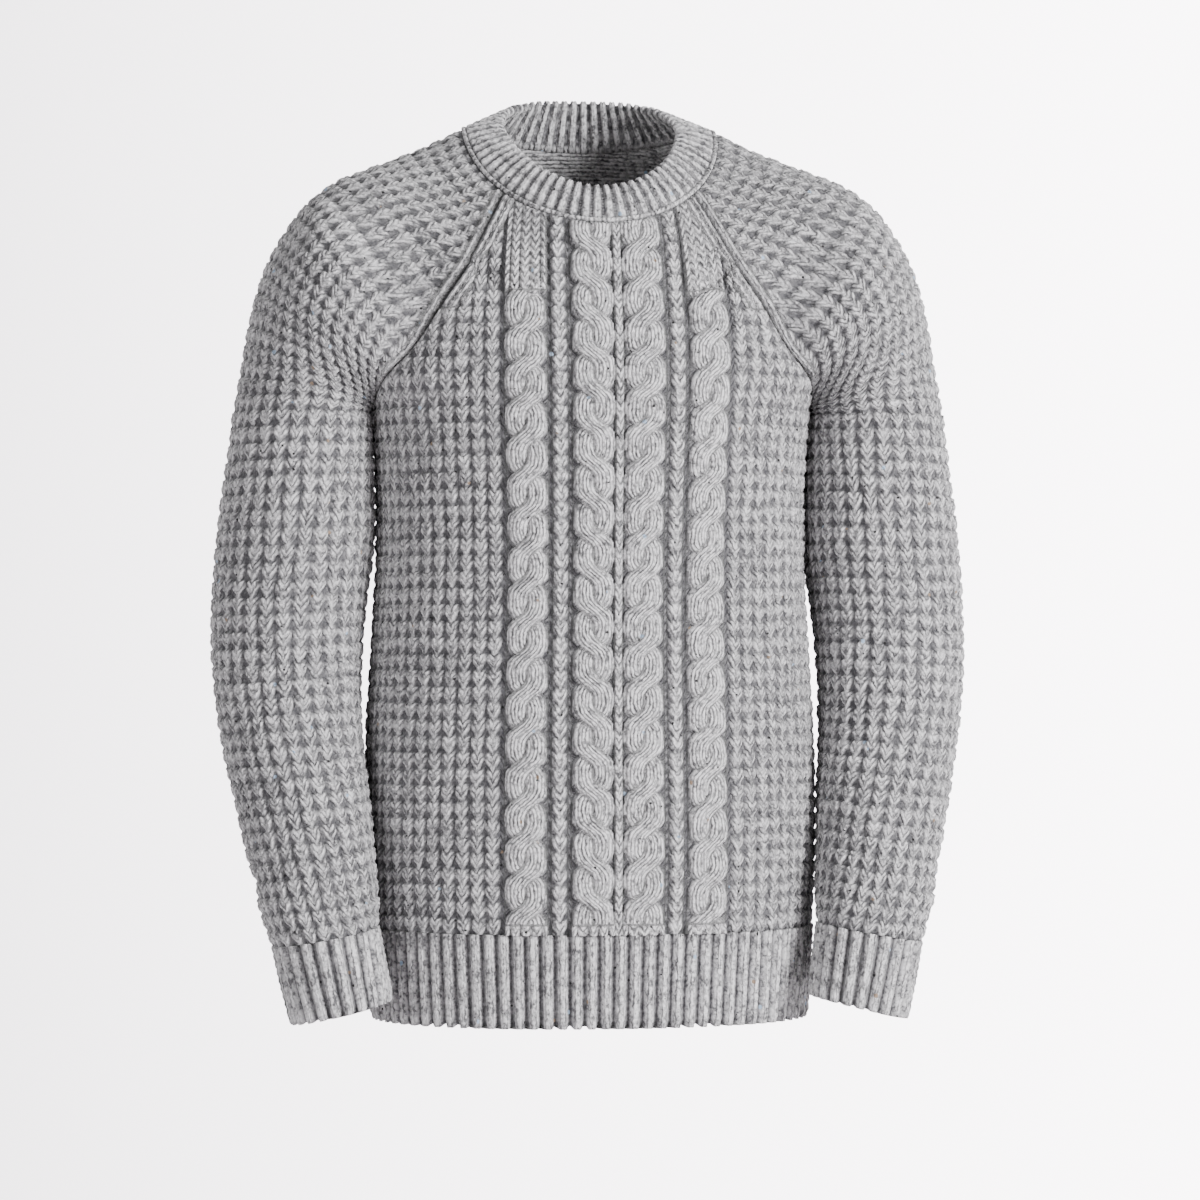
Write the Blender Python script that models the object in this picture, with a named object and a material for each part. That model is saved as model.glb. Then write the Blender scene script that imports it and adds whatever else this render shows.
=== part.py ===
"""Cable knit sweater: raglan pullover in its worn form, metres, +Z up.

The origin is where the wearer's shoulders carry it, on the middle line level with
the shoulder ridge. The front faces -Y and the wearer's left sleeve is on +X.
Every panel is one closed shell of cloth, 0.3 mm apart from its neighbour at each seam.
"""

import bpy
import numpy as np

for old in list(bpy.data.objects):
    bpy.data.objects.remove(old, do_unlink=True)

WALL = 0.004  # thick knitted cloth
SEAM_GAP = 0.0003
CORNER_SHARE = 1.5  # where three or four pieces meet, each draws back by this many times more
NECK_X = 0.097  # half width of the neckline
NECK_Y = 0.006  # its middle, front to back
NECK_DEPTH = 0.098  # from there to the middle of the front
NECK_SIDE_Z = 0.014  # height of the neckline where it crosses the shoulder ridge
NECK_DROP = 0.0765  # how far the neckline falls from there to the middle of the front
BACK_NECK_DROP = 0.006
ROUND = 0.60  # how full a body section is: 0.55 is an ellipse

PANEL_COLUMNS = 20
SLEEVE_COLUMNS = 18
CAP_ROWS = 9  # rows from underarm to neckline, shared by body and sleeves

# Stations run from -1 at the hem to 0 at the underarm and 1 at the neckline.
# depth is how far the middle of the panel stands from the middle of the body,
# seam_x and seam_y place the side seam and then the raglan seam,
# lean is the turn of the panel's edge there: 90 runs straight front to back.
FRONT_ROWS = (
    # station, height, depth, seam_x, seam_y, lean
    (-1.00, -0.652, 0.106, 0.1637, 0.000, 90),
    (-0.85, -0.585, 0.110, 0.1675, 0.000, 90),
    (-0.70, -0.530, 0.113, 0.1698, 0.000, 90),
    (-0.50, -0.442, 0.111, 0.1690, 0.000, 90),
    (-0.33, -0.370, 0.111, 0.1648, 0.000, 90),
    (-0.18, -0.295, 0.115, 0.1612, 0.000, 90),
    (-0.08, -0.240, 0.119, 0.1625, 0.000, 90),
    (0.00, -0.200, 0.120, 0.1660, 0.000, 90),
    (0.15, -0.180, 0.120, 0.1610, -0.052, 70),
    (0.33, -0.155, 0.118, 0.1410, -0.080, 45),
    (0.50, -0.120, 0.114, 0.1180, -0.088, 32),
    (0.65, -0.095, 0.110, 0.1010, -0.087, 30),
    (0.80, -0.068, 0.102, 0.0870, -0.077, 35),
    (1.00, -0.038, 0.092, 0.0710, -0.060, 47),
)
BACK_ROWS = (
    # station, height, depth, seam_x, seam_y, lean
    (-1.00, -0.652, 0.108, 0.1637, 0.000, 90),
    (-0.85, -0.585, 0.110, 0.1675, 0.000, 90),
    (-0.70, -0.530, 0.112, 0.1698, 0.000, 90),
    (-0.50, -0.442, 0.104, 0.1690, 0.000, 90),
    (-0.33, -0.370, 0.098, 0.1648, 0.000, 90),
    (-0.18, -0.295, 0.103, 0.1612, 0.000, 90),
    (-0.08, -0.240, 0.110, 0.1625, 0.000, 90),
    (0.00, -0.200, 0.114, 0.1660, 0.000, 90),
    (0.15, -0.180, 0.115, 0.1630, 0.050, 72),
    (0.33, -0.150, 0.116, 0.1500, 0.085, 50),
    (0.50, -0.108, 0.115, 0.1280, 0.101, 30),
    (0.65, -0.070, 0.110, 0.1050, 0.101, 20),
    (0.80, -0.030, 0.101, 0.0850, 0.093, 20),
    (1.00, 0.014, 0.092, 0.0600, 0.077, 32),
)

# The sleeve cap: its top line from the underarm's level up over the shoulder to the neck,
# and how its cloth leaves each raglan seam: the turn in plan and the rise per length.
RIDGE_ROWS = (
    # station, x, y, height, front_dip, back_dip, fullness
    (0.00, 0.2680, 0.002, -0.200, 0.00, 0.00, 0.863),
    (0.15, 0.2500, -0.002, -0.110, 0.00, 0.00, 0.620),
    (0.33, 0.2220, -0.006, -0.055, 0.00, 0.00, 0.500),
    (0.50, 0.1950, -0.006, -0.030, 0.00, 0.00, 0.440),
    (0.65, 0.1650, -0.002, -0.016, 0.06, 0.00, 0.400),
    (0.80, 0.1320, 0.003, -0.003, 0.22, -0.06, 0.370),
    (1.00, 0.0970, 0.006, 0.014, 0.60, -0.20, 0.360),
)
FRONT_LEAVE_ROWS = (
    # station, turn, rise
    (0.00, -90, 0.00),
    (0.15, -62, 0.30),
    (0.33, -31, 0.80),
    (0.50, 30, 1.10),
    (0.65, 43, 0.95),
    (0.80, 48, 0.72),
    (1.00, 47, 0.575),
)
BACK_LEAVE_ROWS = (
    # station, turn, rise
    (0.00, -90, 0.00),
    (0.15, -62, 0.30),
    (0.33, -30, 0.70),
    (0.50, 20, 1.10),
    (0.65, 32, 1.00),
    (0.80, 38, 0.80),
    (1.00, 40, 0.15),
)

# The sleeve below the underarm, hanging a little forward, and the cuff from -1 to -2.
# Outer is the side away from the body.
CUFF_ROWS = (
    # station, outer_x, outer_z, inner_x, inner_z, y, half_depth
    (-2.00, 0.2280, -0.6490, 0.1560, -0.6315, -0.075, 0.0350),
    (-1.50, 0.2350, -0.6220, 0.1605, -0.6060, -0.068, 0.0385),
    (-1.00, 0.2410, -0.5945, 0.1650, -0.5805, -0.061, 0.0420),
)
ARM_ROWS = (
    # station, outer_x, outer_z, inner_x, inner_z, y, half_depth
    (-1.00, 0.2410, -0.5945, 0.1650, -0.5805, -0.061, 0.0420),
    (-0.96, 0.2480, -0.5750, 0.1642, -0.5620, -0.055, 0.0460),
    (-0.88, 0.2555, -0.5450, 0.1662, -0.5320, -0.046, 0.0490),
    (-0.75, 0.2655, -0.5000, 0.1692, -0.4880, -0.031, 0.0530),
    (-0.60, 0.2762, -0.4500, 0.1736, -0.4410, -0.016, 0.0570),
    (-0.45, 0.2830, -0.4000, 0.1742, -0.3930, -0.005, 0.0600),
    (-0.32, 0.2842, -0.3500, 0.1700, -0.3450, 0.001, 0.0625),
    (-0.20, 0.2808, -0.3000, 0.1642, -0.2970, 0.002, 0.0645),
    (-0.09, 0.2745, -0.2500, 0.1650, -0.2450, 0.001, 0.0655),
    (0.00, 0.2680, -0.2000, 0.1660, -0.2000, 0.001, 0.0660),
)

# The neckband from its seam to its folded top edge: a share of the way up, how far it
# swells outward, and the thickness there.
BAND_TOP_X = 0.0665
BAND_TOP_Y = 0.002
BAND_TOP_DEPTH = 0.078
BAND_TOP_Z = 0.019
BAND_FRONT_DROP = 0.053
BAND_BACK_RISE = 0.027
BAND_ROWS = (
    # share, swell, thickness
    (0.00, 0.0000, 0.0040),
    (0.12, 0.0008, 0.0052),
    (0.50, 0.0016, 0.0052),
    (0.88, 0.0008, 0.0050),
    (0.97, -0.0004, 0.0030),
)


def rows_at(table, stations):
    """The table's columns at each station, as smooth cubics through its rows.

    The underarm, station 0, may be a corner: the rows below and above it don't round it.
    """
    table, stations = np.array(table, float), np.asarray(stations, float)
    if table[0, 0] < 0 < table[-1, 0]:
        below = rows_at(table[table[:, 0] <= 0], np.minimum(stations, 0))
        above = rows_at(table[table[:, 0] >= 0], np.maximum(stations, 0))
        return np.where(stations < 0, below, above)
    at, rows = table[:, 0], table[:, 1:]
    slopes = np.gradient(rows, at, axis=0)
    i = np.clip(np.searchsorted(at, stations, side="right") - 1, 0, len(at) - 2)
    step = (at[i + 1] - at[i])[:, None]
    w = (stations - at[i])[:, None] / step
    value = (2 * w**3 - 3 * w**2 + 1) * rows[i] + (3 * w**2 - 2 * w**3) * rows[i + 1]
    value += step * ((w**3 - 2 * w**2 + w) * slopes[i] + (w**3 - w**2) * slopes[i + 1])
    return value.T


def bezier(p0, p1, p2, p3, w):
    """A cubic for every row of the four points, sampled at the shares w."""
    w = w[None, :, None]
    p0, p1, p2, p3 = (p[:, None, :] for p in (p0, p1, p2, p3))
    return (1 - w) ** 3 * p0 + 3 * w * (1 - w) ** 2 * p1 + 3 * w**2 * (1 - w) * p2 + w**3 * p3


def unit(vectors):
    return vectors / np.maximum(np.linalg.norm(vectors, axis=-1, keepdims=True), 1e-12)


def body_grid(rows, side, stations):
    """A body panel, hem row first, each row from its seam on the left, seen from outside."""
    z, depth, seam_x, seam_y, lean = rows_at(rows, stations)
    lean = np.radians(lean)
    flat = np.zeros_like(z)
    reach = (depth - side * seam_y) / np.sin(lean)
    middle = np.stack([flat, side * depth, flat], 1)
    seam = np.stack([seam_x, seam_y, flat], 1)
    corner = np.stack([seam_x - reach * np.cos(lean), side * depth, flat], 1)
    half = bezier(
        middle,
        middle + ROUND * (corner - middle),
        seam + ROUND * (corner - seam),
        seam,
        np.linspace(0, 1, PANEL_COLUMNS // 2 + 1),
    )
    share = np.clip(stations, 0, 1)[:, None] ** 2
    x = half[..., 0]
    if side < 0:
        ring = NECK_SIDE_Z - NECK_DROP * np.sqrt(np.clip(1 - (x / NECK_X) ** 2, 0, 1))
        fall = ring - ring[:, -1:]
    else:
        fall = -BACK_NECK_DROP * (1 - (x / seam_x[:, None]) ** 2)
    half[..., 2] = z[:, None] + share * fall
    return np.concatenate([half[:, :0:-1] * (-1, 1, 1), half], axis=1)[:, ::-side]


def sleeve_half(side, stations):
    """Half of the sleeve cap on +X, from its ridge to the front or back raglan seam."""
    x, y, z, front_dip, back_dip, full = rows_at(RIDGE_ROWS, stations)
    seam_z, _, seam_x, seam_y, _ = rows_at(FRONT_ROWS if side < 0 else BACK_ROWS, stations)
    turn, rise = rows_at(FRONT_LEAVE_ROWS if side < 0 else BACK_LEAVE_ROWS, stations)
    dip = front_dip if side < 0 else back_dip
    turn = np.radians(turn)
    ridge = np.stack([x, y, z], 1)
    seam = np.stack([seam_x, seam_y, seam_z], 1)
    along = unit(np.stack([0 * x, side + 0 * x, -dip], 1))
    leave = unit(np.stack([np.cos(turn), -side * np.sin(turn), rise], 1))
    handle = (full * np.linalg.norm(ridge - seam, axis=1))[:, None]
    shares = np.linspace(0, 1, SLEEVE_COLUMNS // 2 + 1)
    return bezier(ridge, ridge + handle * along, seam + handle * leave, seam, shares)


def arm_half(table, side, stations):
    """Half of the sleeve tube on +X, from its outer line to its underarm line."""
    outer_x, outer_z, inner_x, inner_z, y, deep = rows_at(table, stations)
    outer = np.stack([outer_x, y + 0.001, outer_z], 1)
    inner = np.stack([inner_x, y - 0.001, inner_z], 1)
    handle = np.stack([0 * y, side * deep * 4 / 3, 0 * y], 1)
    shares = np.linspace(0, 1, SLEEVE_COLUMNS // 2 + 1)
    return bezier(outer, outer + handle, inner + handle, inner, shares)


def joined(front, back):
    """The two halves of a sleeve as one grid, front seam first and back seam last."""
    return np.concatenate([front[:, ::-1], back[:, 1:]], axis=1)


def mirrored(grid):
    """The grid on the other side of the middle line, its columns turned to face outward."""
    return grid[:, ::-1] * (-1, 1, 1)


cap = np.linspace(0, 1, CAP_ROWS + 1) ** 1.2
body_stations = np.concatenate([np.linspace(-0.85, 0, 12)[:-1], cap])
front = body_grid(FRONT_ROWS, -1, body_stations)
back = body_grid(BACK_ROWS, 1, body_stations)
hem_stations = np.linspace(-1, -0.85, 4)
hem_front = body_grid(FRONT_ROWS, -1, hem_stations)
hem_back = body_grid(BACK_ROWS, 1, hem_stations)
arm_stations = np.concatenate([(-1, -0.98, -0.95, -0.90), np.linspace(-0.83, 0, 11)])[:-1]
cuff_stations = np.linspace(-2, -1, 4)
arm = joined(arm_half(ARM_ROWS, -1, arm_stations), arm_half(ARM_ROWS, 1, arm_stations))
over = joined(sleeve_half(-1, cap), sleeve_half(1, cap))
over[0] = joined(arm_half(ARM_ROWS, -1, [0]), arm_half(ARM_ROWS, 1, [0]))
underarm = front[len(front) - CAP_ROWS - 1, -1]
over[0, 0] = over[0, -1] = underarm
sleeve = np.concatenate([arm, over])
cuff = joined(arm_half(CUFF_ROWS, -1, cuff_stations), arm_half(CUFF_ROWS, 1, cuff_stations))

# The neckband stands on the ring of panel edges and leans in to its folded top edge.
foot = np.concatenate([front[-1], sleeve[-1][1:], back[-1][1:], mirrored(sleeve)[-1][1:]])
turn = np.arctan2(foot[:, 0] / NECK_X, (NECK_Y - foot[:, 1]) / NECK_DEPTH)
forward = np.cos(turn)
fold_z = BAND_TOP_Z - (BAND_FRONT_DROP + BAND_BACK_RISE) / 2 * forward
fold_z -= (BAND_FRONT_DROP - BAND_BACK_RISE) / 2 * forward**2
fold = np.stack([BAND_TOP_X * np.sin(turn), BAND_TOP_Y - BAND_TOP_DEPTH * forward, fold_z], 1)
share, swell, band_walls = np.array(BAND_ROWS).T
band = foot + share[:, None, None] * (fold - foot)
band += swell[:, None, None] * unit(np.cross(np.gradient(foot, axis=0), fold - foot))
band[:, 0] = band[:, -1] = (band[:, 0] + band[:, -1]) / 2

pieces = {
    "front_body": front,
    "back_body": back,
    "sleeve_left": sleeve,
    "sleeve_right": mirrored(sleeve),
    "neckband": band,
    "hem_rib_front": hem_front,
    "hem_rib_back": hem_back,
    "cuff_left": cuff,
    "cuff_right": mirrored(cuff),
}

# Where panels meet they share one line of points. There each panel's cut edge is turned to
# the mean of its neighbours and drawn back from them by half the seam gap. In a valley,
# such as the armpit, each keeps some of its own turn, so its cloth stays thick there.
VALLEY_GAIN = 8
VALLEY_TURN = 0.5
points = np.concatenate([grid.reshape(-1, 3) for grid in pieces.values()])
outward, inward, owner = [], [], []
for number, grid in enumerate(pieces.values()):
    outward.append(unit(np.cross(np.gradient(grid, axis=1), np.gradient(grid, axis=0))).reshape(-1, 3))
    pull = np.zeros_like(grid)
    for axis in (0, 1):
        step = unit(np.diff(grid, axis=axis))
        if axis == 0:
            pull[:-1] += step
            pull[1:] -= step
        else:
            pull[:, :-1] += step
            pull[:, 1:] -= step
    inward.append(pull.reshape(-1, 3))
    owner.append(np.full(grid.shape[0] * grid.shape[1], number))
outward, inward, owner = (np.concatenate(part) for part in (outward, inward, owner))
place = np.unique(np.round(points, 6), axis=0, return_inverse=True)[1].reshape(-1)
key = place * len(pieces) + owner
mine = np.unique(key, return_inverse=True)[1].reshape(-1)
normal, pull = (np.zeros((mine.max() + 1, 3)) for _ in range(2))
np.add.at(normal, mine, outward)
np.add.at(pull, mine, inward)
normal = unit(normal)
where = np.zeros(mine.max() + 1, int)
where[mine] = place
sharing = np.bincount(where)
mean, middle = (np.zeros((place.max() + 1, 3)) for _ in range(2))
np.add.at(mean, where, normal)
np.add.at(middle, where, pull)
mean = unit(mean + (sharing[:, None] > 1) * (0, 0, -0.02))
middle /= sharing[:, None]
valley = np.clip(VALLEY_GAIN * np.sum(unit(pull) * mean[where], axis=1), 0, 1)
bend = VALLEY_TURN * (valley * (1 - np.sum(normal * mean[where], axis=1)))[:, None]
normal = unit(mean[where] * (1 - bend) + normal * bend)
apart = unit(pull - middle[where]) * (sharing[where] > 1)[:, None]
apart *= SEAM_GAP / 2 * np.where(sharing[where] > 2, CORNER_SHARE, 1)[:, None]
normal, apart = normal[mine], apart[mine]

start = 0
for name, grid in pieces.items():
    rows, columns = grid.shape[:2]
    count = rows * columns
    wall = band_walls[:, None, None] if name == "neckband" else WALL
    outer = grid + apart[start : start + count].reshape(grid.shape)
    inner = outer - wall * normal[start : start + count].reshape(grid.shape)
    start += count
    outside = np.arange(count).reshape(rows, columns)
    inside = outside + count
    tube = np.linalg.norm(outer[:, 0] - outer[:, -1], axis=1) < 1e-6

    def quads(a, b, c, d):
        return np.stack([part.reshape(-1) for part in (a, b, c, d)], 1).tolist()

    def rim(out, into, flip, kept):
        """The cut edge between the outer and inner lines, split the same way on both sides of a seam."""
        faces = [(out[:-1], out[1:], into[1:]), (out[:-1], into[1:], into[:-1])]
        faces = np.concatenate([np.stack(face[::flip], 1)[kept] for face in faces])
        return faces.tolist()

    whole = np.ones(columns - 1, bool)
    split = ~(tube[:-1] & tube[1:])
    faces = quads(outside[:-1, :-1], outside[:-1, 1:], outside[1:, 1:], outside[1:, :-1])
    faces += quads(inside[:-1, :-1], inside[1:, :-1], inside[1:, 1:], inside[:-1, 1:])
    faces += rim(outside[0], inside[0], -1, whole) + rim(outside[-1], inside[-1], 1, whole)
    faces += rim(outside[:, 0], inside[:, 0], 1, split) + rim(outside[:, -1], inside[:, -1], -1, split)
    vertices = np.concatenate([outer.reshape(-1, 3), inner.reshape(-1, 3)])
    _, first, same = np.unique(np.round(vertices, 6), axis=0, return_index=True, return_inverse=True)
    mesh = bpy.data.meshes.new(name)
    same = same.reshape(-1).tolist()
    mesh.from_pydata(vertices[first].tolist(), [], [[same[v] for v in face] for face in faces])
    piece = bpy.data.objects.new(name, mesh)
    bpy.context.scene.collection.objects.link(piece)
    wool = bpy.data.materials.new(name + "_wool")
    wool.use_nodes = True
    shader = wool.node_tree.nodes["Principled BSDF"]
    shader.inputs["Base Color"].default_value = (0.37, 0.37, 0.38, 1)
    shader.inputs["Roughness"].default_value = 0.95
    mesh.materials.append(wool)
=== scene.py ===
"""Cable knit sweater: the looks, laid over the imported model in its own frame, in metres.

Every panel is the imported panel's own surface, knitted: each point of it is placed by its
wale (across the panel) and its course (up the panel), then lifted by its stitches.
"""

import bpy
import numpy as np
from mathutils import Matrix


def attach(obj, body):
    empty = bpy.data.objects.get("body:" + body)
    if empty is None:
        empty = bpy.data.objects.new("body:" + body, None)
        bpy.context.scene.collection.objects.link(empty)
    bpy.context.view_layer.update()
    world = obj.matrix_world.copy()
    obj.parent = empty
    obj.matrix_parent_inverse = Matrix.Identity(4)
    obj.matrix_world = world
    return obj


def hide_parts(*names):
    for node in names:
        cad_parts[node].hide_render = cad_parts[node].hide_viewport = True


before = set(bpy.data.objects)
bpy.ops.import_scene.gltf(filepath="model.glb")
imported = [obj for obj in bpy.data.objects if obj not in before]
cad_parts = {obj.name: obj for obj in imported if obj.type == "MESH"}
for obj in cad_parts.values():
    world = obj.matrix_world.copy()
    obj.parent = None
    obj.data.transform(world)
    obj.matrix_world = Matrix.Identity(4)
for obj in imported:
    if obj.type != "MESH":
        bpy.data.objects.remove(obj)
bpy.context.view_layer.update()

# ---------------------------------------------------------------------------------------
# Studio: a pale floor and backdrop in one sweep, far behind and below the hanging sweater.
# A big soft light stands in front on the right, with weaker ones left, above and behind.
VIEW_TURN = np.radians(-6.5)
VIEW_DISTANCE = 3.2
VIEW_WIDTH = 0.9072
VIEW_HEIGHT = -0.3402
VIEW_ASIDE = 0.0076
SENSOR_WIDTH = 36

camera_data = bpy.data.cameras.new("view")
camera_data.sensor_width = SENSOR_WIDTH
camera_data.lens = SENSOR_WIDTH * VIEW_DISTANCE / VIEW_WIDTH
camera_data.shift_x = VIEW_ASIDE / VIEW_WIDTH
camera = bpy.data.objects.new("view", camera_data)
camera.location = (
    VIEW_DISTANCE * np.sin(VIEW_TURN),
    -VIEW_DISTANCE * np.cos(VIEW_TURN),
    VIEW_HEIGHT,
)
camera.rotation_euler = (np.pi / 2, 0, VIEW_TURN)
bpy.context.scene.collection.objects.link(camera)
bpy.context.scene.camera = camera

SWEEP_HALF, SWEEP_FRONT, SWEEP_WALL = 6.0, -4.5, 2.2
SWEEP_FLOOR, SWEEP_TOP, SWEEP_BEND = -1.35, 4.0, 1.0
bend = np.linspace(0, np.pi / 2, 24)
bend_y = SWEEP_WALL - SWEEP_BEND + SWEEP_BEND * np.sin(bend)
bend_z = SWEEP_FLOOR + SWEEP_BEND - SWEEP_BEND * np.cos(bend)
profile = [(SWEEP_FRONT, SWEEP_FLOOR), *zip(bend_y, bend_z), (SWEEP_WALL, SWEEP_TOP)]
sides = [[(x, y, z) for y, z in profile] for x in (-SWEEP_HALF, SWEEP_HALF)]
steps = np.arange(len(profile) - 1)
sweep_mesh = bpy.data.meshes.new("sweep")
sweep_mesh.from_pydata(
    sides[0] + sides[1],
    [],
    np.stack([steps, steps + len(profile), steps + len(profile) + 1, steps + 1], 1).tolist(),
)
sweep = bpy.data.objects.new("sweep", sweep_mesh)
bpy.context.scene.collection.objects.link(sweep)
# Painted light: to the camera alone the paper glows, more on the right, as if lit apart from
# the sweater. It is clear from its back, so that a view from behind isn't shut off.
paper = bpy.data.materials.new("paper")
paper.use_nodes = True
nodes, links = paper.node_tree.nodes, paper.node_tree.links
shader = nodes["Principled BSDF"]
shader.inputs["Base Color"].default_value = (0.84, 0.812, 0.835, 1)
shader.inputs["Roughness"].default_value = 0.9
shader.inputs["Emission Color"].default_value = (1.0, 0.955, 0.985, 1)
place = nodes.new("ShaderNodeSeparateXYZ")
links.new(nodes.new("ShaderNodeTexCoord").outputs["Object"], place.inputs[0])
# Painted light on the backdrop: its glow grows from left to right.
painted_backdrop_light = nodes.new("ShaderNodeMapRange")
for name, setting in (("From Min", -1.0), ("From Max", 1.0), ("To Min", 1.4), ("To Max", 7.6)):
    painted_backdrop_light.inputs[name].default_value = setting
links.new(place.outputs["X"], painted_backdrop_light.inputs["Value"])
to_camera = nodes.new("ShaderNodeMath")
to_camera.operation = "MULTIPLY"
links.new(painted_backdrop_light.outputs["Result"], to_camera.inputs[0])
links.new(nodes.new("ShaderNodeLightPath").outputs["Is Camera Ray"], to_camera.inputs[1])
links.new(to_camera.outputs[0], shader.inputs["Emission Strength"])
facing_us = nodes.new("ShaderNodeMath")
facing_us.operation = "SUBTRACT"
facing_us.inputs[0].default_value = 1
links.new(nodes.new("ShaderNodeNewGeometry").outputs["Backfacing"], facing_us.inputs[1])
links.new(facing_us.outputs[0], shader.inputs["Alpha"])
sweep_mesh.materials.append(paper)
sweep_mesh.shade_smooth()

LIT_POINT = (0, 0, -0.3)
for name, place, size, watts in (
    ("key", (2.2, -2.4, 0.40), 1.3, 225),
    ("fill", (-2.3, -2.3, -0.30), 1.5, 42),
    ("top", (0.4, -0.5, 2.4), 1.5, 16),
    ("behind", (0.6, 2.0, 1.6), 1.5, 40),
):
    lamp = bpy.data.lights.new(name, "AREA")
    lamp.shape, lamp.size, lamp.energy = "DISK", size, watts
    light = bpy.data.objects.new(name, lamp)
    light.location = place
    toward = np.array(LIT_POINT) - np.array(place)
    light.rotation_euler = (
        float(np.arctan2(np.hypot(toward[0], toward[1]), -toward[2])),
        0,
        float(np.arctan2(-toward[0], toward[1])),
    )
    bpy.context.scene.collection.objects.link(light)
world = bpy.data.worlds.new("studio")
world.use_nodes = True
world.node_tree.nodes["Background"].inputs["Color"].default_value = (1.0, 0.985, 1.0, 1)
world.node_tree.nodes["Background"].inputs["Strength"].default_value = 0.31
bpy.context.scene.world = world

# ---------------------------------------------------------------------------------------
# Front body: one panel knitted in light grey heather wool, tweedy with small dark, blue and
# brown neps. Four cables run up the middle with a single knit column between each pair,
# plain waffle stitch lies on both sides, and smooth shaped columns follow the raglan seams.
WOOL_LIGHT = (0.70, 0.685, 0.70, 1)
WOOL_DARK = (0.115, 0.113, 0.118, 1)
WALL = 0.004
ROUND = 0.60  # how far each cubic's handles reach out to the corner between them
SAMPLES = 160  # points of a half section, between which its surface is read
NECK_X, NECK_SIDE_Z, NECK_DROP, BACK_NECK_DROP = 0.097, 0.014, 0.0765, 0.006
UNDERARM_Z, RIB_TOP_Z, RIB_STATION, FRONT_TOP_Z = -0.200, -0.585, -0.85, -0.030
BODY_WALE, BODY_COURSE = 0.0117, 0.0121
PLY_WIDTH = 0.0031  # from one visible ply to the next, across the yarn coordinates
VALLEY, BLOCK_RISE = -0.0017, 0.0036  # the lift between stitches, and a stitch's rise from it
NECK_EDGE = -0.0008

FRONT_ROWS = (
    # station, height, depth, seam_x, seam_y, lean
    (-1.00, -0.652, 0.106, 0.1637, 0.000, 90),
    (-0.85, -0.585, 0.110, 0.1675, 0.000, 90),
    (-0.70, -0.530, 0.113, 0.1698, 0.000, 90),
    (-0.50, -0.442, 0.111, 0.1690, 0.000, 90),
    (-0.33, -0.370, 0.111, 0.1648, 0.000, 90),
    (-0.18, -0.295, 0.115, 0.1612, 0.000, 90),
    (-0.08, -0.240, 0.119, 0.1625, 0.000, 90),
    (0.00, -0.200, 0.120, 0.1660, 0.000, 90),
    (0.15, -0.180, 0.120, 0.1610, -0.052, 70),
    (0.33, -0.155, 0.118, 0.1410, -0.080, 45),
    (0.50, -0.120, 0.114, 0.1180, -0.088, 32),
    (0.65, -0.095, 0.110, 0.1010, -0.087, 30),
    (0.80, -0.068, 0.102, 0.0870, -0.077, 35),
    (1.00, -0.038, 0.092, 0.0710, -0.060, 47),
)


def unit(vectors):
    return vectors / np.maximum(np.linalg.norm(vectors, axis=-1, keepdims=True), 1e-12)


def soft(low, high, value):
    """The smooth step from 0 at low to 1 at high: 3w^2 - 2w^3."""
    w = np.clip((value - low) / (high - low), 0, 1)
    return w * w * (3 - 2 * w)


def rows_at(table, stations):
    """The table's columns at each station: Hermite cubics through its rows, with a free
    corner at station 0, the underarm."""
    table, stations = np.array(table, float), np.asarray(stations, float)
    if table[0, 0] < 0 < table[-1, 0]:
        below = rows_at(table[table[:, 0] <= 0], np.minimum(stations, 0))
        above = rows_at(table[table[:, 0] >= 0], np.maximum(stations, 0))
        return np.where(stations < 0, below, above)
    at, rows = table[:, 0], table[:, 1:]
    slopes = np.gradient(rows, at, axis=0)
    i = np.clip(np.searchsorted(at, stations, side="right") - 1, 0, len(at) - 2)
    step = (at[i + 1] - at[i])[:, None]
    w = (stations - at[i])[:, None] / step
    value = (2 * w**3 - 3 * w**2 + 1) * rows[i] + (3 * w**2 - 2 * w**3) * rows[i + 1]
    value += step * ((w**3 - 2 * w**2 + w) * slopes[i] + (w**3 - w**2) * slopes[i + 1])
    return value.T


def run_of(points, axis):
    """How far each point lies from the first one, along the cloth the way of the axis."""
    first = np.take(points, [0], axis=axis)
    return np.cumsum(np.linalg.norm(np.diff(points, axis=axis, prepend=first), axis=-1), axis=axis)


def bezier(p0, p1, p2, p3, w):
    """One cubic for every row of the four points, sampled at the shares w."""
    w = w[None, :, None]
    p0, p1, p2, p3 = (p[:, None, :] for p in (p0, p1, p2, p3))
    return (1 - w) ** 3 * p0 + 3 * w * (1 - w) ** 2 * p1 + 3 * w**2 * (1 - w) * p2 + w**3 * p3


def body_half(rows, side, stations, samples):
    """Half a body panel, from its middle line to its seam on +X: at each station one cubic
    that leaves the middle sideways and meets the seam at its lean."""
    z, depth, seam_x, seam_y, lean = rows_at(rows, stations)
    lean, flat = np.radians(lean), np.zeros_like(z)
    reach = (depth - side * seam_y) / np.sin(lean)
    middle = np.stack([flat, side * depth, flat], 1)
    seam = np.stack([seam_x, seam_y, flat], 1)
    corner = np.stack([seam_x - reach * np.cos(lean), side * depth, flat], 1)
    half = bezier(
        middle,
        middle + ROUND * (corner - middle),
        seam + ROUND * (corner - seam),
        seam,
        np.linspace(0, 1, samples),
    )
    share = np.clip(stations, 0, 1)[:, None] ** 2
    x = half[..., 0]
    if side < 0:
        ring = NECK_SIDE_Z - NECK_DROP * np.sqrt(np.clip(1 - (x / NECK_X) ** 2, 0, 1))
        fall = ring - ring[:, -1:]
    else:
        fall = -BACK_NECK_DROP * (1 - (x / seam_x[:, None]) ** 2)
    half[..., 2] = z[:, None] + share * fall
    return half


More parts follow.
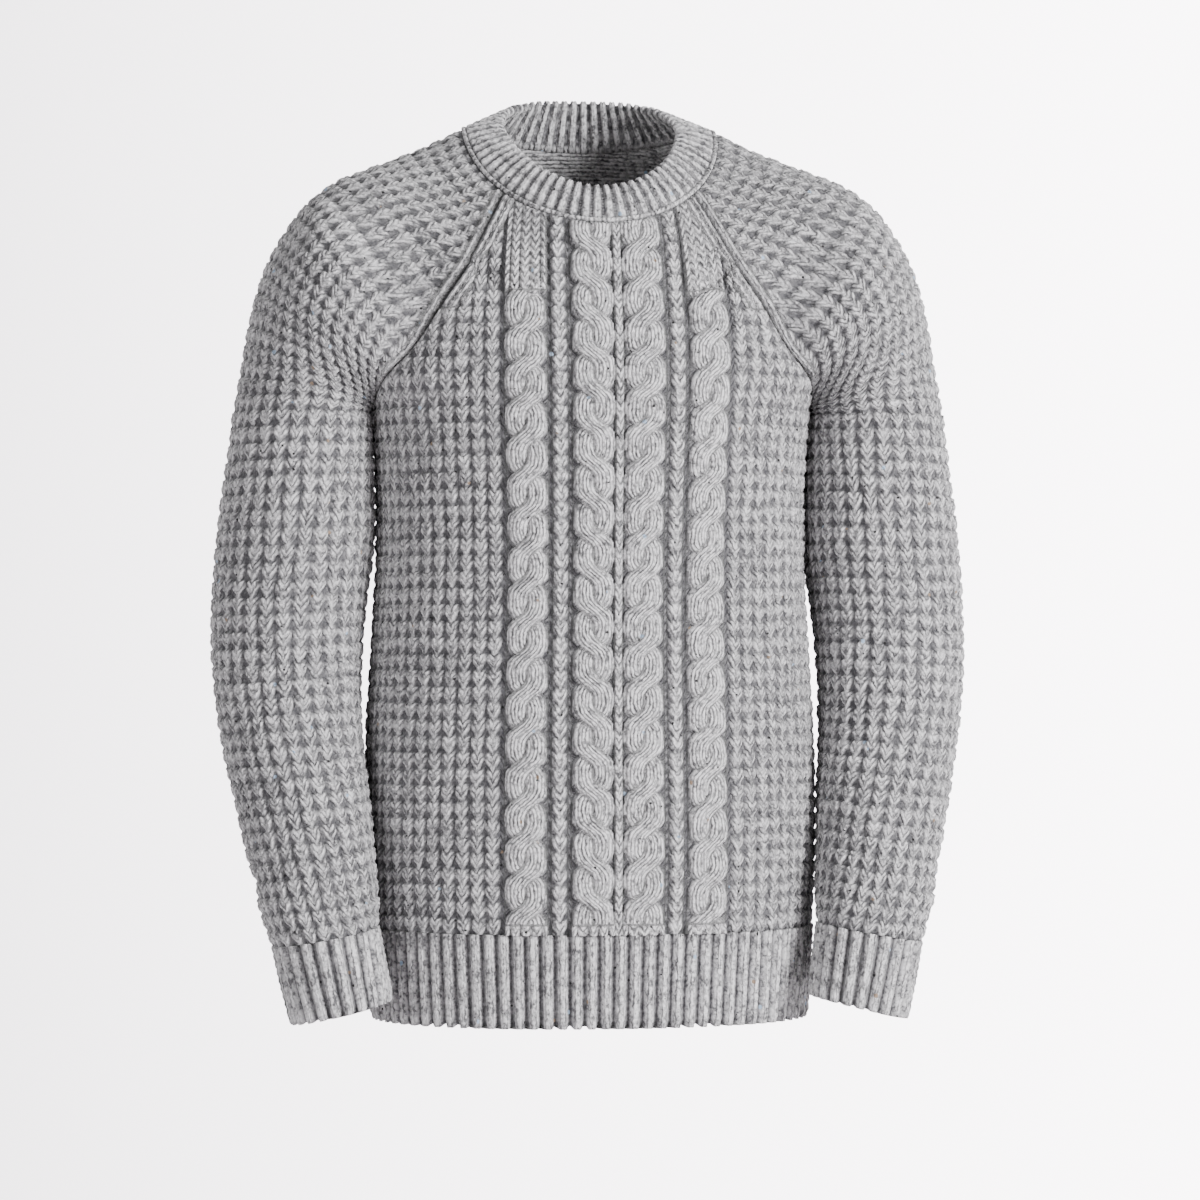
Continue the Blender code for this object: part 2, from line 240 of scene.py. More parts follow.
def body_surface(rows, side, across, heights):
    """Points and outward normals of a body panel, a row for each height, a column for each
    distance across from the middle line, measured round the cloth at the underarm. What
    lies past a raglan seam or the neckline is drawn back on to it. Also gives how far each
    point lies from the seam, round the cloth, and from the neckline, straight up."""
    below, above = np.linspace(RIB_STATION, 0, 200), np.linspace(0, 1, 420)
    stations = np.concatenate([below[:-1], above])
    half = body_half(rows, side, stations, SAMPLES)
    normal = side * unit(np.cross(np.gradient(half, axis=0), np.gradient(half, axis=1)))
    both = np.concatenate([half, normal], axis=2)
    run = run_of(half, 1)
    underarm = np.searchsorted(stations, 0)
    pull = np.where(stations < 0, run[:, -1] / run[underarm, -1], 1)
    limit = np.where(stations < 0, run[underarm, -1], run[:, -1])
    seam = both[:, -1]
    size = np.abs(across)
    columns = np.stack(
        [
            np.stack([np.interp(size * p, r, part) for part in row.T], 1)
            for p, r, row in zip(pull, run, both)
        ]
    )
    neck = np.interp(np.minimum(size, limit[-1]), run[-1], half[-1, :, 2])
    z = np.minimum(heights[:, None], neck[None, :])
    edge = np.interp(z, seam[:, 2], limit)
    on_seam = size[None, :] >= edge
    laid = np.stack(
        [
            np.stack([np.interp(z[:, j], columns[:, j, 2], part) for part in columns[:, j].T], 1)
            for j in range(len(across))
        ],
        axis=1,
    )
    sewn = np.stack([np.interp(z, seam[:, 2], part) for part in seam.T], 2)
    laid = np.where(on_seam[..., None], sewn, laid)
    laid[..., [0, 3]] *= np.where(across < 0, -1, 1)[:, None]
    return laid[..., :3], unit(laid[..., 3:]), np.maximum(edge - size, 0), neck - z


def waffle(wale, course):
    """The rise of waffle stitch, 0 to 1, wale and course being counted in cells, and how
    far across its cell each point lies, 0 at the middle and 1 at the edge. Each cell is a
    raised tooth of two stitches, one V over the other: wide at its top, narrow at its foot,
    with a groove down its middle and a hole at each side of its foot."""
    p = 2 * np.abs(wale - np.floor(wale) - 0.5)
    q = course - np.floor(course)
    half = 0.42 + 0.44 * soft(0.0, 0.50, q) - 0.34 * soft(0.84, 1.0, q)
    tooth = 1 - soft(half - 0.28, half + 0.20, p)
    joined_up = 0.84 - 0.66 * soft(0.10, 0.75, p)
    tooth *= joined_up + (1 - joined_up) * soft(0.0, 0.26, q - 0.16 * p) * (1 - soft(0.86, 1.0, q))
    vees = 0.90 + 0.10 * np.cos(2 * np.pi * (2 * q - 0.85 * p - 0.45))
    return tooth * vees * (1 - 0.26 * np.exp(-((p / 0.22) ** 2))), p


LOOSE = np.random.default_rng(11).normal(0, 1, (61, 53))  # how each stitch differs from the rest


def uneven(wale, course):
    """Hand feel: a factor for each cell's lift and a small drift of its wale and course,
    from smooth sines and one table of random values read by the cell's place."""
    row, column = np.floor(course).astype(int), np.floor(wale).astype(int)
    cell = LOOSE[row % LOOSE.shape[0], column % LOOSE.shape[1]]
    drift = 0.045 * np.sin(0.9 * course + 1.3 * wale) + 0.03 * np.sin(2.3 * course - 2.1 * wale)
    rise = 0.05 * np.sin(0.8 * wale + 0.31 * course) + 0.035 * np.sin(2.1 * wale - 0.7 * course)
    return 1 + 0.10 * np.clip(cell, -2, 2), drift, rise


def strand_of(p, wale_width, along, pitch):
    """Yarn coordinates down the two legs of each V: the first across the yarn, the second
    along it. The legs slope so that two plies pass a fixed height in each stitch pitch."""
    out = p * wale_width / 2
    slope = 2 * PLY_WIDTH / pitch
    return np.stack([0.86 * out - slope * along, 0.51 * out + 0.86 * along], -1)


CABLE_CROSSING = 0.0266
CABLE_PLIES = 6  # to each strand
CABLE_SWING, CABLE_HALF_STRAND, CABLE_RISE, CABLE_DIVE = 0.0074, 0.0080, 0.0040, 0.0021
CABLE_GROOVE, CABLE_GROOVE_REACH = 0.0007, 0.0011
PANEL_SHIFT = 0.0085
CABLES = (
    # middle across the panel, slant (1 rises to the wearer's left), first crossing up, top
    (-0.0690, 1, 0.004, -0.113),
    (-0.0190, -1, 0.012, 0.0),
    (0.0190, 1, 0.012, 0.0),
    (0.0690, 1, 0.000, -0.113),
)
SINGLE_COLUMNS = (
    # middle across the panel, half width, rise, share of waffle teeth in it
    (-0.0440, 0.0060, 0.0028, 1.0),
    (0.0000, 0.0034, 0.0028, 0.0),
    (0.0440, 0.0060, 0.0028, 1.0),
)


def cable(across, up, slant, first):
    """The lift and yarn coordinates of a rope of two strands that always cross the same
    way, and the groove between them, 0 to 1, where both are as high. Each strand swings
    across as -a cos(f) and up and down as b sin(f), f being half a turn for each crossing,
    and is round: b sin(f) + c sqrt(1 - d^2), d its share from its middle."""
    turn = np.pi * (up - first) / CABLE_CROSSING
    turn = turn - 0.22 * np.sin(2 * turn)
    lift = np.full(across.shape, -1.0)
    yarn = np.zeros(across.shape + (2,))
    apart = 0
    for strand in (0, np.pi):
        middle = -CABLE_SWING * np.cos(turn + strand)
        steep = CABLE_SWING * np.pi / CABLE_CROSSING * np.abs(np.sin(turn + strand))
        half = CABLE_HALF_STRAND * np.sqrt(1 + steep**2)
        share = (across * slant - middle) / half
        round_top = np.sqrt(np.clip(1 - share**2, 0, 1)) - (np.abs(share) > 1)
        rise = CABLE_DIVE * np.sin(turn + strand) + CABLE_RISE * round_top
        over = rise > lift
        apart = rise - apart
        along = up * 1.3 + 0.013 * strand
        line = np.stack([share * CABLE_PLIES / 2 * PLY_WIDTH, along + 0 * share], -1)
        yarn = np.where(over[..., None], line, yarn)
        lift = np.where(over, rise, lift)
    groove = np.exp(-((apart / CABLE_GROOVE_REACH) ** 2))
    return lift - CABLE_GROOVE * groove, yarn, groove


def wool_group():
    """A wool's colour and surface from its yarn coordinates: plies run along the second
    one, with painted shade in the gaps between them, fibres are fine streaks, marl drifts
    over a few stitches, and neps are rare specks. Sunken stitches get painted shade, the
    darker the deeper they lie."""
    group = bpy.data.node_groups.new("tweed_wool", "ShaderNodeTree")
    for socket, way, kind in (
        ("Light", "INPUT", "NodeSocketColor"),
        ("Dark", "INPUT", "NodeSocketColor"),
        ("Marl", "INPUT", "NodeSocketFloat"),
        ("Color", "OUTPUT", "NodeSocketColor"),
        ("Height", "OUTPUT", "NodeSocketFloat"),
    ):
        group.interface.new_socket(socket, in_out=way, socket_type=kind)
    nodes, links = group.nodes, group.links
    given, out = nodes.new("NodeGroupInput"), nodes.new("NodeGroupOutput")

    def feed(slots, terms):
        for slot, term in zip(slots, terms):
            if isinstance(term, bpy.types.NodeSocket):
                links.new(term, slot)
            else:
                slot.default_value = term

    def made(kind, **terms):
        node = nodes.new("ShaderNode" + kind)
        feed([node.inputs[name] for name in terms], terms.values())
        return node

    def maths(kind, *terms, clamp=False):
        node = made("Math")
        node.operation, node.use_clamp = kind, clamp
        feed(node.inputs, terms)
        return node.outputs[0]

    def stretched(source, scale, shift):
        return made("Mapping", Vector=source, Scale=scale, Location=shift).outputs[0]

    def noise(source, detail):
        return made("TexNoise", Vector=source, Scale=1, Detail=detail).outputs["Fac"]

    def blend(mix, first, second):
        node = made("Mix")
        node.data_type = "RGBA"
        feed((node.inputs[0], node.inputs[6], node.inputs[7]), (mix, first, second))
        return node.outputs[2]

    yarn = made("UVMap")
    yarn.uv_map = "yarn"
    place = made("TexCoord").outputs["Object"]
    # This attribute sets painted shade: 0 where a point lies deepest, 1 on the stitch tops.
    depth = made("Attribute")
    depth.attribute_name = "shade_relief"
    shade_relief = depth.outputs["Fac"]
    drift = made("TexNoise", Vector=place, Scale=300, Detail=2)
    wander = made("VectorMath")
    wander.operation = "MULTIPLY_ADD"
    feed(wander.inputs, (drift.outputs["Color"], (0.0024, 0.0024, 0), yarn.outputs["UV"]))
    across, along, _ = made("SeparateXYZ", Vector=wander.outputs[0]).outputs
    side_of_ply = maths("FRACT", maths("DIVIDE", across, PLY_WIDTH))
    from_middle = maths("ABSOLUTE", maths("MULTIPLY_ADD", side_of_ply, 2.0, -1.0))
    ply = maths("SUBTRACT", 1.0, maths("POWER", from_middle, 2.0))
    x, y, _ = made("SeparateXYZ", Vector=place).outputs
    # The third coordinate keeps one stitch's fibres unlike those of the stitch beside it.
    strands = made("CombineXYZ", X=across, Y=along, Z=maths("ADD", x, y)).outputs[0]
    fibre = noise(stretched(strands, (520, 120, 90), (3, 7, 0)), 3.0)
    fuzz = noise(stretched(place, (430, 430, 430), (0, 0, 0)), 4.0)
    marl = noise(stretched(place, (170, 170, 170), (5, 1, 9)), 2.0)
    # Painted shade: the yarn is darker in the gaps between its plies, broken up by the fuzz.
    broken = maths("MULTIPLY_ADD", fuzz, 4.0, -1.45, clamp=True)
    ply_gap_shade = maths("MULTIPLY", maths("SUBTRACT", 1.0, ply), broken)
    streaks = maths("MULTIPLY", maths("SUBTRACT", fibre, 0.5), 2.6)
    mottled = maths("MULTIPLY", maths("SUBTRACT", fuzz, 0.5), 3.2)
    drifted = maths("MULTIPLY", maths("SUBTRACT", marl, 0.5), given.outputs["Marl"])
    shade = maths("ADD", maths("MULTIPLY_ADD", ply_gap_shade, -0.85, streaks), mottled)
    shade = maths("ADD", maths("ADD", shade, drifted), 0.70, clamp=True)
    colour = blend(shade, given.outputs["Dark"], given.outputs["Light"])
    # Painted shade: deep points are blended toward near black by their depth.
    painted_shade_mix = maths("POWER", maths("MULTIPLY_ADD", shade_relief, 0.88, 0.12, clamp=True), 1.05)
    colour = blend(painted_shade_mix, (0.048, 0.047, 0.053, 1), colour)

    for scale, shift, low, tint in (
        # neps to a metre, where in the noise, share of them left out, colour
        (120, 0.0, 0.76, (0.012, 0.011, 0.012, 1)),
        (230, 2.0, 0.84, (0.016, 0.015, 0.018, 1)),
        (75, 4.0, 0.88, (0.32, 0.41, 0.53, 1)),
        (80, 9.0, 0.93, (0.26, 0.19, 0.14, 1)),
    ):
        laid = stretched(place, (scale, scale, scale), (shift, shift, shift))
        cells = made("TexVoronoi", Vector=laid, Scale=1)
        split = made("SeparateColor", Color=cells.outputs["Color"])
        chosen = maths("GREATER_THAN", split.outputs["Red"], low)
        ragged = maths("MULTIPLY_ADD", fibre, 0.16, cells.outputs["Distance"])
        speck = maths("MULTIPLY", chosen, maths("LESS_THAN", ragged, 0.20))
        colour = blend(speck, colour, tint)
    links.new(colour, out.inputs["Color"])
    height = maths("MULTIPLY_ADD", fibre, 0.55, maths("MULTIPLY", ply, 0.75))
    links.new(maths("MULTIPLY_ADD", fuzz, 0.35, height), out.inputs["Height"])
    return group


tweed = wool_group()


def wool(name, marl=0.5):
    """A wool of the garment, with its own strength of marl."""
    material = bpy.data.materials.new(name)
    material.use_nodes = True
    nodes, links = material.node_tree.nodes, material.node_tree.links
    shader = nodes["Principled BSDF"]
    for socket, setting in (
        ("Roughness", 0.92),
        ("Specular IOR Level", 0.18),
        ("Sheen Weight", 0.22),
        ("Sheen Roughness", 0.55),
    ):
        shader.inputs[socket].default_value = setting
    yarn = nodes.new("ShaderNodeGroup")
    yarn.node_tree = tweed
    for socket, setting in (("Light", WOOL_LIGHT), ("Dark", WOOL_DARK), ("Marl", marl)):
        yarn.inputs[socket].default_value = setting
    raised = nodes.new("ShaderNodeBump")
    raised.inputs["Strength"].default_value = 1.0
    raised.inputs["Distance"].default_value = 0.0015
    links.new(yarn.outputs["Height"], raised.inputs["Height"])
    links.new(yarn.outputs["Color"], shader.inputs["Base Color"])
    links.new(raised.outputs["Normal"], shader.inputs["Normal"])
    return material


INNER_STEP = 9  # the plain inner face has one point for this many outside
# the plain inner face takes a fixed, light painted shade
INNER_SHADE_RELIEF = 0.75


def cloth(name, node, base, normal, lift, yarn, shade_relief, wall=WALL, closed=0):
    """A knitted piece as one closed shell. Its outer face is base + lift x normal on the
    whole grid, its inner face is base - wall x normal on every ninth point, and fans of
    triangles join the two round the cut edges. The first closed rows run right round."""
    rows, columns = lift.shape
    first = max(closed - 1, 0)
    row_at = np.unique(np.r_[0 : rows - 1 : INNER_STEP, first, rows - 1])
    column_at = np.unique(np.r_[0 : columns - 1 : INNER_STEP, columns - 1])
    chosen = np.ix_(row_at, column_at)
    out = np.arange(rows * columns).reshape(rows, columns)
    into = out.size + np.arange(len(row_at) * len(column_at)).reshape(len(row_at), -1)
    outer, inner = base + lift[..., None] * normal, (base - wall * normal)[chosen]
    points = np.concatenate([outer.reshape(-1, 3), inner.reshape(-1, 3)])
    inner_yarn = np.stack([run_of(base, 0)[chosen], run_of(base, 1)[chosen]], -1)
    lines = np.concatenate([yarn.reshape(-1, 2), inner_yarn.reshape(-1, 2)])
    depth = np.concatenate([shade_relief.ravel(), np.full(into.size, INNER_SHADE_RELIEF)])

    def halves(a, b, c, d):
        a, b, c, d = (part.ravel() for part in (a, b, c, d))
        return np.concatenate([np.stack([a, b, c], 1), np.stack([a, c, d], 1)])

    def fan(fine, coarse, at, flip):
        """Triangles from each stretch of the fine edge to the coarse point before it, and
        from each stretch of the coarse edge to the fine point at its end."""
        behind = np.searchsorted(at, np.arange(len(fine) - 1), side="right") - 1
        near = np.stack([fine[:-1], fine[1:], coarse[behind]], 1)
        far = np.stack([fine[at[1:]], coarse[1:], coarse[:-1]], 1)
        return np.concatenate([near, far])[:, ::flip]

    faces = [
        halves(out[:-1, :-1], out[:-1, 1:], out[1:, 1:], out[1:, :-1]),
        halves(into[:-1, :-1], into[1:, :-1], into[1:, 1:], into[:-1, 1:]),
        fan(out[0], into[0], column_at, -1),
        fan(out[-1], into[-1], column_at, 1),
    ]
    if closed < rows:
        low = np.searchsorted(row_at, first)
        kept = row_at[low:] - first
        faces.append(fan(out[first:, 0], into[low:, 0], kept, 1))
        faces.append(fan(out[first:, -1], into[low:, -1], kept, -1))
    faces = np.concatenate(faces)
    _, keep, same = np.unique(np.round(points, 6), axis=0, return_index=True, return_inverse=True)
    welded = same.reshape(-1)[faces]
    good = (welded != np.roll(welded, 1, axis=1)).all(axis=1)
    faces, welded = faces[good], welded[good]
    mesh = bpy.data.meshes.new(name)
    mesh.vertices.add(len(keep))
    mesh.vertices.foreach_set("co", points[keep].ravel())
    mesh.loops.add(welded.size)
    mesh.loops.foreach_set("vertex_index", welded.ravel())
    mesh.polygons.add(len(welded))
    mesh.polygons.foreach_set("loop_start", np.arange(0, welded.size, 3))
    mesh.uv_layers.new(name="yarn").uv.foreach_set("vector", lines[faces.ravel()].ravel())
    mesh.attributes.new("shade_relief", "FLOAT", "POINT").data.foreach_set("value", depth[keep])
    mesh.update(calc_edges=True)
    mesh.shade_smooth()
    piece = bpy.data.objects.new(name, mesh)
    bpy.context.scene.collection.objects.link(piece)
    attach(piece, "root")
    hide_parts(node)
    return piece


def knit_column(p, up, stitch):
    """The lift of one plain knit column: round across, p being 0 at its middle and 1 at its
    edge, with a V stitch every stitch length and a faint groove down the middle."""
    body = np.sqrt(np.clip(1 - np.abs(p) ** 2.4, 0, 1))
    vees = 0.87 + 0.13 * np.cos(2 * np.pi * (up / stitch - 0.8 * np.abs(p)))
    return body * vees * (1 - 0.16 * np.exp(-((p / 0.2) ** 2)))


# Creases and hollows of the worn cloth: each pushes it one way, the more the nearer it is.
FOLDS = (
    # middle, run of the crease, half length, half width, push
    ((0.150, -0.086, -0.150), (0.45, -0.30, -0.84), 0.055, 0.012, (-0.0035, 0.0050, 0.0)),
    ((-0.150, -0.086, -0.150), (-0.45, -0.30, -0.84), 0.060, 0.013, (0.0035, 0.0050, 0.0)),
    ((0.118, -0.100, -0.205), (0.80, 0.10, 0.60), 0.050, 0.013, (0.0, 0.0034, 0.0)),
    ((-0.122, -0.100, -0.212), (-0.78, 0.10, 0.62), 0.044, 0.012, (0.0, 0.0032, 0.0)),
    ((0.135, -0.085, -0.262), (0.86, 0.20, 0.47), 0.042, 0.015, (-0.001, 0.0030, 0.0)),
    ((-0.138, -0.085, -0.275), (-0.90, 0.20, 0.40), 0.038, 0.014, (0.001, 0.0028, 0.0)),
    ((0.120, -0.100, -0.520), (0.60, 0.20, -0.77), 0.060, 0.022, (0.0, 0.0036, 0.0)),
    ((-0.128, -0.095, -0.500), (-0.52, 0.20, -0.83), 0.066, 0.020, (0.0, 0.0034, 0.0)),
    ((0.142, -0.075, -0.430), (0.90, 0.30, 0.30), 0.040, 0.016, (-0.001, 0.0026, 0.0)),
    ((-0.146, -0.072, -0.400), (-0.92, 0.30, 0.25), 0.036, 0.017, (0.001, 0.0024, 0.0)),
    ((0.020, 0.114, -0.240), (0.97, 0.0, 0.20), 0.070, 0.016, (0.0, -0.0036, 0.0)),
    ((-0.075, 0.106, -0.300), (0.90, 0.0, -0.42), 0.055, 0.015, (0.0, -0.0034, 0.0)),
    ((0.095, 0.100, -0.350), (0.84, -0.2, 0.50), 0.060, 0.017, (0.0, -0.0032, 0.0)),
    ((-0.120, 0.095, -0.160), (-0.60, 0.20, -0.78), 0.055, 0.013, (0.002, -0.0040, 0.0)),
    ((0.122, 0.095, -0.168), (0.55, 0.20, -0.80), 0.050, 0.013, (-0.002, -0.0040, 0.0)),
    ((-0.060, 0.108, -0.500), (0.35, 0.0, -0.94), 0.070, 0.020, (0.0, -0.0034, 0.0)),
    ((0.185, -0.062, -0.345), (-0.75, 0.20, -0.62), 0.034, 0.010, (0.0, 0.0042, 0.0)),
    ((0.192, -0.062, -0.385), (-0.92, 0.15, -0.36), 0.038, 0.009, (0.0, 0.0046, 0.0)),
    ((0.205, -0.072, -0.425), (-0.97, 0.10, -0.10), 0.030, 0.008, (0.0, 0.0034, 0.0)),
    ((-0.185, -0.062, -0.350), (0.75, 0.20, -0.62), 0.036, 0.010, (0.0, 0.0042, 0.0)),
    ((-0.194, -0.062, -0.392), (0.94, 0.15, -0.30), 0.034, 0.009, (0.0, 0.0044, 0.0)),
    ((-0.208, -0.074, -0.436), (0.97, 0.10, -0.12), 0.028, 0.009, (0.0, 0.0030, 0.0)),
    ((0.226, -0.095, -0.520), (0.93, 0.20, -0.28), 0.040, 0.010, (0.0, 0.0036, 0.0)),
    ((0.215, -0.102, -0.555), (0.96, 0.10, 0.18), 0.036, 0.008, (0.0, 0.0038, 0.0)),
    ((-0.224, -0.095, -0.515), (-0.90, 0.20, -0.36), 0.038, 0.010, (0.0, 0.0034, 0.0)),
    ((-0.213, -0.102, -0.552), (-0.97, 0.10, 0.12), 0.034, 0.008, (0.0, 0.0038, 0.0)),
    ((0.262, 0.020, -0.400), (0.10, 0.80, -0.55), 0.045, 0.014, (-0.0040, 0.0, 0.0)),
    ((-0.262, 0.012, -0.410), (-0.10, 0.84, -0.50), 0.050, 0.014, (0.0040, 0.0, 0.0)),
    ((0.250, -0.030, -0.545), (0.10, 0.90, -0.30), 0.040, 0.010, (-0.0040, 0.0, 0.0)),
    ((-0.250, -0.034, -0.550), (-0.10, 0.92, -0.26), 0.042, 0.010, (0.0040, 0.0, 0.0)),
    ((0.225, 0.060, -0.250), (0.50, 0.30, 0.80), 0.050, 0.013, (0.0, -0.0038, 0.0)),
    ((-0.225, 0.060, -0.262), (-0.55, 0.30, 0.76), 0.046, 0.013, (0.0, -0.0038, 0.0)),
    ((0.212, 0.035, -0.455), (0.90, 0.30, 0.20), 0.040, 0.010, (0.0, -0.0040, 0.0)),
    ((-0.214, 0.032, -0.470), (-0.92, 0.30, 0.15), 0.042, 0.010, (0.0, -0.0040, 0.0)),
)


def creased(points):
    """The points pushed by every fold: its push x exp(-(along/length)^2 - (off/width)^2),
    along being how far a point lies down the fold's run, and off how far from that line."""
    moved = points.copy()
    for middle, run, length, width, push in FOLDS:
        away = points - np.array(middle)
        run = np.array(run) / np.linalg.norm(run)
        along = away @ run
        off = np.sum(away**2, axis=-1) - along**2
        near = np.exp(-((along / length) ** 2) - off / width**2)
        moved += near[..., None] * np.array(push)
    return moved


SEAM_EDGE, SEAM_WALE, SEAM_STITCH, SEAM_COLUMN_TOP = 0.0010, 0.0071, 0.0062, 0.0024
SEAM_YARN = 0.0030  # from a column's middle to its edge, across the yarn coordinates


def beside_seam(lift, yarn, beside, up, columns, weight):
    """Plain knit columns laid beside a seam over what is there, by weight."""
    place = (beside - SEAM_EDGE) / SEAM_WALE
    p = 2 * (place - np.floor(place) - 0.5)
    plain = VALLEY + (SEAM_COLUMN_TOP - VALLEY) * knit_column(p, up, SEAM_STITCH)
    mix = weight * (place < columns) * (place > 0)
    line = np.stack([p * SEAM_YARN, up + 0 * p], -1)
    lift = lift + (plain - lift) * mix
    return lift, np.where(mix[..., None] > 0.5, line, yarn)


def edged(lift, beside, up, below):
    """The lift drawn down beside the seam and below the neckline to their own depths, and
    the painted shade of each point, 0 darkest to 1 none: darker the lower its stitch lies,
    and darker again just under the neckline. The seam is deepest on the upper raglan, and
    lost in the stitches further down."""
    upper = soft(-0.160, -0.120, up)
    depth = -0.0003 - 0.0012 * upper
    drawn = depth + (lift - depth) * soft(0, 0.0036, beside)
    shade_relief = np.clip((lift + (drawn - lift) * upper - VALLEY) / BLOCK_RISE, 0, 1)
    drawn = NECK_EDGE + (drawn - NECK_EDGE) * soft(0, 0.003, below)
    return drawn, shade_relief * (0.4 + 0.6 * soft(-0.002, 0.004, below))


def pressed(lift, near):
    """Where sleeve and body lean on each other, raised stitches are flattened."""
    return np.where(lift > 0, lift * (1 - 0.25 * near), lift)


FINE = 7  # points to each stitch cell, up and down
ACROSS = 6  # and across the waffle of the body
PANEL_EDGE, PANEL_POINTS = 0.088, 143  # half the cabled middle's width, and points across it
OTHER_SIDE = 31  # how far on in the table of loose stitches the wearer's left side reads
STITCH, PURL_WALE, PURL_COURSE, PURL_RISE = 0.0063, 0.0060, 0.0061, 0.0009
PLAIN_WALE, PLAIN_RISE, PLAIN_FADE = 0.0078, 0.0034, 0.045
ROPE_REACH = 0.0162  # from a cable's middle to its outer edge

girth = run_of(body_half(FRONT_ROWS, -1, [0.0], 200)[0], 0)[-1]
wales = (girth + PANEL_SHIFT - PANEL_EDGE) / BODY_WALE
beyond = PANEL_EDGE + BODY_WALE * np.arange(1, ACROSS * int(wales + 2)) / ACROSS
middle = np.linspace(-PANEL_EDGE, PANEL_EDGE, PANEL_POINTS)
across_panel = np.concatenate([-beyond[::-1], middle, beyond])
heights = RIB_TOP_Z + BODY_COURSE * np.arange(0, int(-RIB_TOP_Z / BODY_COURSE * FINE) + 1) / FINE
heights = heights[heights < FRONT_TOP_Z]
base, normal, beside, below = body_surface(FRONT_ROWS, -1, across_panel + PANEL_SHIFT, heights)
side_way, up = np.broadcast_arrays(across_panel[None, :], heights[:, None])
wale, course = (np.abs(side_way) - PANEL_EDGE) / BODY_WALE, (up - RIB_TOP_Z) / BODY_COURSE
tall, drift, rise = uneven(wale + OTHER_SIDE * (side_way > 0), course)
tooth, p = waffle(wale + drift * soft(0.0, 1.0, wale), course + rise)
lift = VALLEY + BLOCK_RISE * tall * tooth
yarn = strand_of(p, BODY_WALE, (course + rise) * BODY_COURSE, BODY_COURSE)
purl = 0.5 + 0.5 * np.cos(2 * np.pi * up / PURL_COURSE)
purl = VALLEY + PURL_RISE * purl * (0.5 + 0.5 * np.cos(2 * np.pi * side_way / PURL_WALE))
lift = np.where(np.abs(side_way) < PANEL_EDGE, purl, lift)
for middle, half, high, teeth in SINGLE_COLUMNS:
    q = (side_way - middle) / half
    on = np.abs(q) < 1
    column = knit_column(q, up, STITCH) * (1 - teeth)
    column += waffle(q / 2 + 0.5, course + rise)[0] * teeth
    column = VALLEY + (high - VALLEY) * column
    lift = np.where(on, np.maximum(column, lift), lift)
    yarn = np.where(on[..., None], strand_of(np.abs(q), 2 * half, up, 2 * STITCH), yarn)
cable_crossing_shade = np.zeros(up.shape)
for middle, slant, first, top in CABLES:
    rope, line, groove = cable(side_way - middle, up, slant, first)
    plain_at = (side_way - middle) / PLAIN_WALE + 1.5
    q = 2 * (plain_at - np.floor(plain_at) - 0.5)
    high = PLAIN_RISE * (2 - soft(top, top + PLAIN_FADE, up))
    plain = VALLEY + high * knit_column(q, up, STITCH)
    on = np.abs(side_way - middle) < ROPE_REACH
    weight = np.maximum(soft(top - 0.010, top + 0.008, up), 1 - soft(0.001, 0.014, up - RIB_TOP_Z))
    cable_crossing_shade += groove * on * (1 - weight)
    lift = np.where(on, np.maximum(rope * (1 - weight) + plain * weight, lift), lift)
    plies = strand_of(np.abs(q), PLAIN_WALE, up, 2 * STITCH)
    line = np.where(weight[..., None] > 0.5, plies, line)
    yarn = np.where(on[..., None], line, yarn)
lift, yarn = beside_seam(lift, yarn, beside, up, 2, soft(-0.140, -0.112, up))
lift = pressed(lift, soft(0.152, 0.165, np.abs(base[..., 0])))
lift, shade_relief = edged(lift, beside, up, below)
# Painted shade where the cable strands cross, in the groove between them.
shade_relief = shade_relief * (1 - 0.55 * cable_crossing_shade)
front_body = cloth("front_panel", "front_body", creased(base), normal, lift, yarn, shade_relief)
front_body.data.materials.append(wool("front_wool"))

# ---------------------------------------------------------------------------------------
# Back body: plain waffle stitch from rib to neck, cut a little higher than the front, with
# the same two smooth columns beside each raglan seam.
BACK_ROWS = (
    # station, height, depth, seam_x, seam_y, lean
    (-1.00, -0.652, 0.108, 0.1637, 0.000, 90),
    (-0.85, -0.585, 0.110, 0.1675, 0.000, 90),
    (-0.70, -0.530, 0.112, 0.1698, 0.000, 90),
    (-0.50, -0.442, 0.104, 0.1690, 0.000, 90),
    (-0.33, -0.370, 0.098, 0.1648, 0.000, 90),
    (-0.18, -0.295, 0.103, 0.1612, 0.000, 90),
    (-0.08, -0.240, 0.110, 0.1625, 0.000, 90),
    (0.00, -0.200, 0.114, 0.1660, 0.000, 90),
    (0.15, -0.180, 0.115, 0.1630, 0.050, 72),
    (0.33, -0.150, 0.116, 0.1500, 0.085, 50),
    (0.50, -0.108, 0.115, 0.1280, 0.101, 30),
    (0.65, -0.070, 0.110, 0.1050, 0.101, 20),
    (0.80, -0.030, 0.101, 0.0850, 0.093, 20),
    (1.00, 0.014, 0.092, 0.0600, 0.077, 32),
)
BACK_TOP_Z = 0.016

